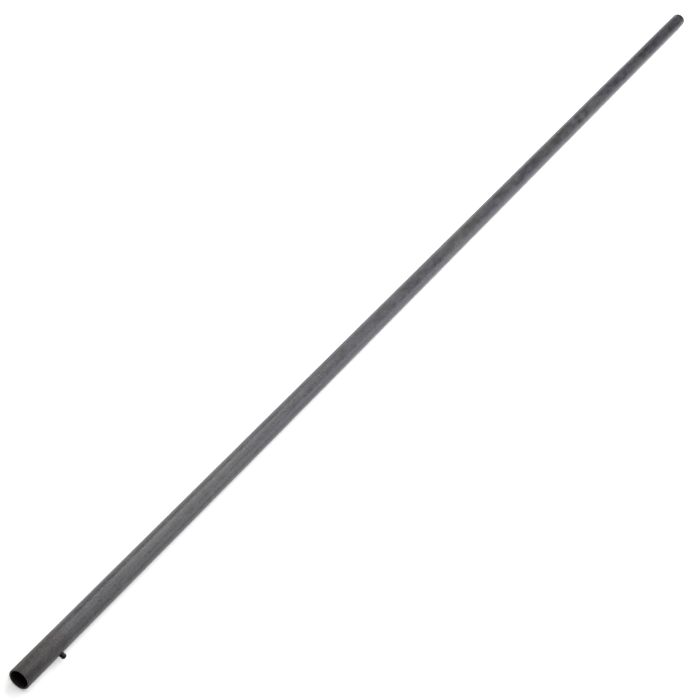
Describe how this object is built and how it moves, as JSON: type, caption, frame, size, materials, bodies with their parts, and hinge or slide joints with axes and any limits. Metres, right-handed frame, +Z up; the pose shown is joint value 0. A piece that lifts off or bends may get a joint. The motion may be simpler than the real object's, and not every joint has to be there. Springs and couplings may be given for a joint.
{
  "type": "prism pole section",
  "caption": "Straight carbon-fibre survey pole section with a spring snap button near one end and a pin hole and socket at the other.",
  "frame": {"origin": "centre of the near end face, the end with the snap button, on the tube's axis", "axes": "+X along the tube towards the socket end, -Y the way the snap button and the pin hole face, +Z up with the pole lying down"},
  "size_m": [2.1336, 0.0318, 0.0254],
  "materials": {
    "carbon_fibre": "satin, sanded and thinly sealed",
    "blackened_steel": "black oxide, oiled",
    "spring_steel": "bright rolled"
  },
  "bodies": {
    "tube": {"carbon_tube": "carbon_fibre", "spring_clip": "spring_steel"},
    "button": {"snap_button": "blackened_steel"}
  },
  "joints": [
    {"name": "button_press", "type": "slide", "parent": "tube", "child": "button", "axis": [0, 1, 0], "range_m": [0, 0.00635], "stiffness_N_per_m": 2400, "springref_m": -0.0015, "deforming": ["spring_clip"]}
  ]
}
